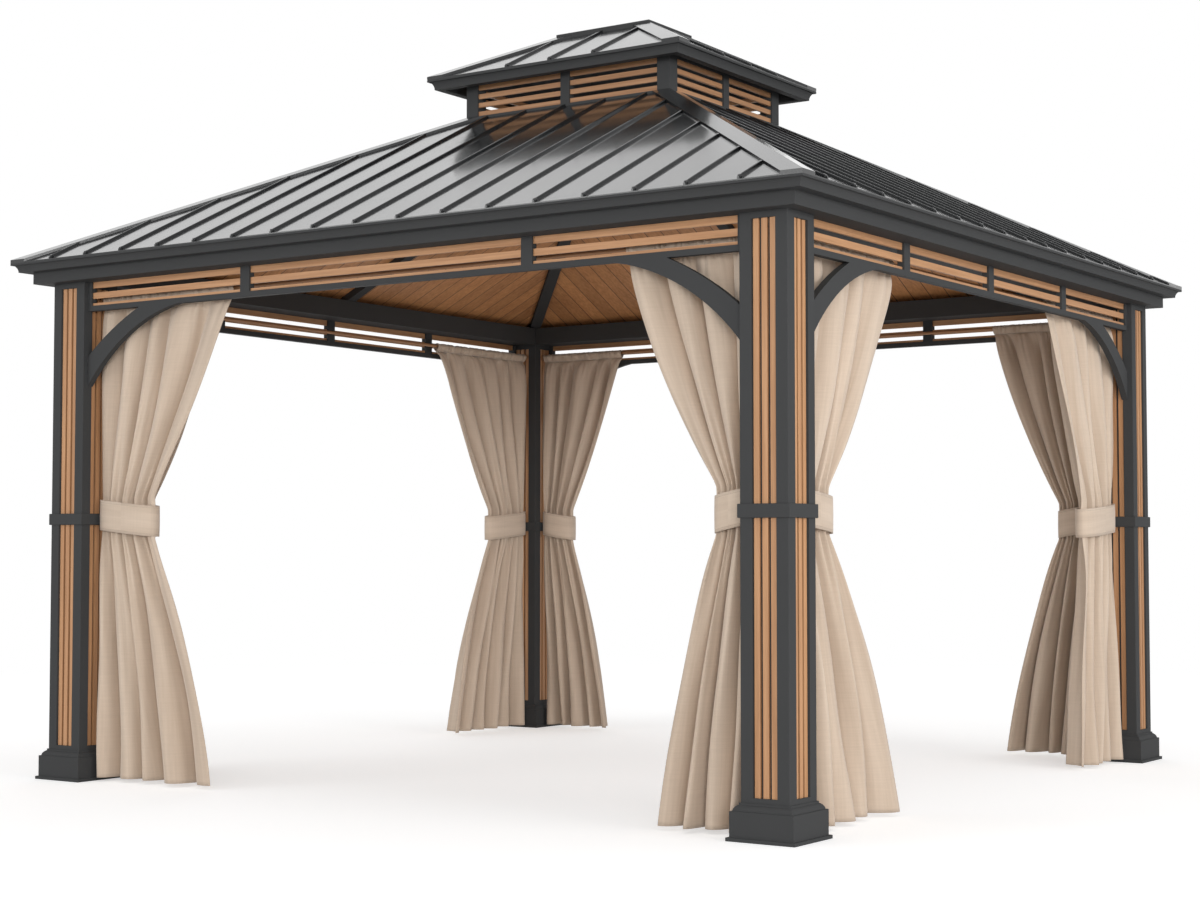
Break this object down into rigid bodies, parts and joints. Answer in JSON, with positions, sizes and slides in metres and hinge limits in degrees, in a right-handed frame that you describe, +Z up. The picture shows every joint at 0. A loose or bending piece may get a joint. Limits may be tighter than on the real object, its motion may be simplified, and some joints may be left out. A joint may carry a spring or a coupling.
{
  "type": "metal gazebo",
  "caption": "Open-sided metal gazebo with slatted posts and frieze, arched braces, hipped standing-seam roof with louvred cupola, board ceiling and tied-back curtains.",
  "frame": {"origin": "on the ground, at the middle of the plan", "axes": "+Z up; +X along the front wall towards the picture's near corner; +Y from the front wall to the back wall"},
  "size_m": [4.031, 3.882, 3.4501],
  "materials": {
    "frame_metal": "matt powder coat",
    "roof_metal": "satin coated sheet",
    "slat_wood": "satin, fine straight grain",
    "ceiling_wood": "satin, fine straight grain",
    "curtain_fabric": "plain weave cloth"
  },
  "bodies": {
    "root": {"beam_back": "frame_metal", "beam_front": "frame_metal", "beam_left": "frame_metal", "beam_right": "frame_metal", "ceiling_boards": "ceiling_wood", "common_rafters": "frame_metal", "corner_braces": "frame_metal", "cupola_frame": "frame_metal", "cupola_ring": "frame_metal", "cupola_slats": "slat_wood", "curtain_back_left": "curtain_fabric", "curtain_back_right": "curtain_fabric", "curtain_front_left": "curtain_fabric", "curtain_front_right": "curtain_fabric", "curtain_left_left": "curtain_fabric", "curtain_left_right": "curtain_fabric", "curtain_right_left": "curtain_fabric", "curtain_right_right": "curtain_fabric", "curtain_rods": "slat_wood", "eave_trim_back": "frame_metal", "eave_trim_front": "frame_metal", "eave_trim_left": "frame_metal", "eave_trim_right": "frame_metal", "frieze_frame_back": "frame_metal", "frieze_frame_front": "frame_metal", "frieze_frame_left": "frame_metal", "frieze_frame_right": "frame_metal", "frieze_slats_back": "slat_wood", "frieze_slats_front": "slat_wood", "frieze_slats_left": "slat_wood", "frieze_slats_right": "slat_wood", "hip_rafters": "frame_metal", "post_back_left": "frame_metal", "post_back_right": "frame_metal", "post_bands": "frame_metal", "post_foot_back_left": "frame_metal", "post_foot_back_right": "frame_metal", "post_foot_front_left": "frame_metal", "post_foot_front_right": "frame_metal", "post_front_left": "frame_metal", "post_front_right": "frame_metal", "post_slats": "slat_wood", "roof_cap_plate": "roof_metal", "roof_hip_caps": "roof_metal", "roof_panel_back": "roof_metal", "roof_panel_front": "roof_metal", "roof_panel_left": "roof_metal", "roof_panel_right": "roof_metal", "tiebacks": "curtain_fabric", "upper_eave_trim": "frame_metal", "upper_hip_caps": "roof_metal", "upper_lining": "frame_metal", "upper_roof": "roof_metal"}
  },
  "joints": []
}
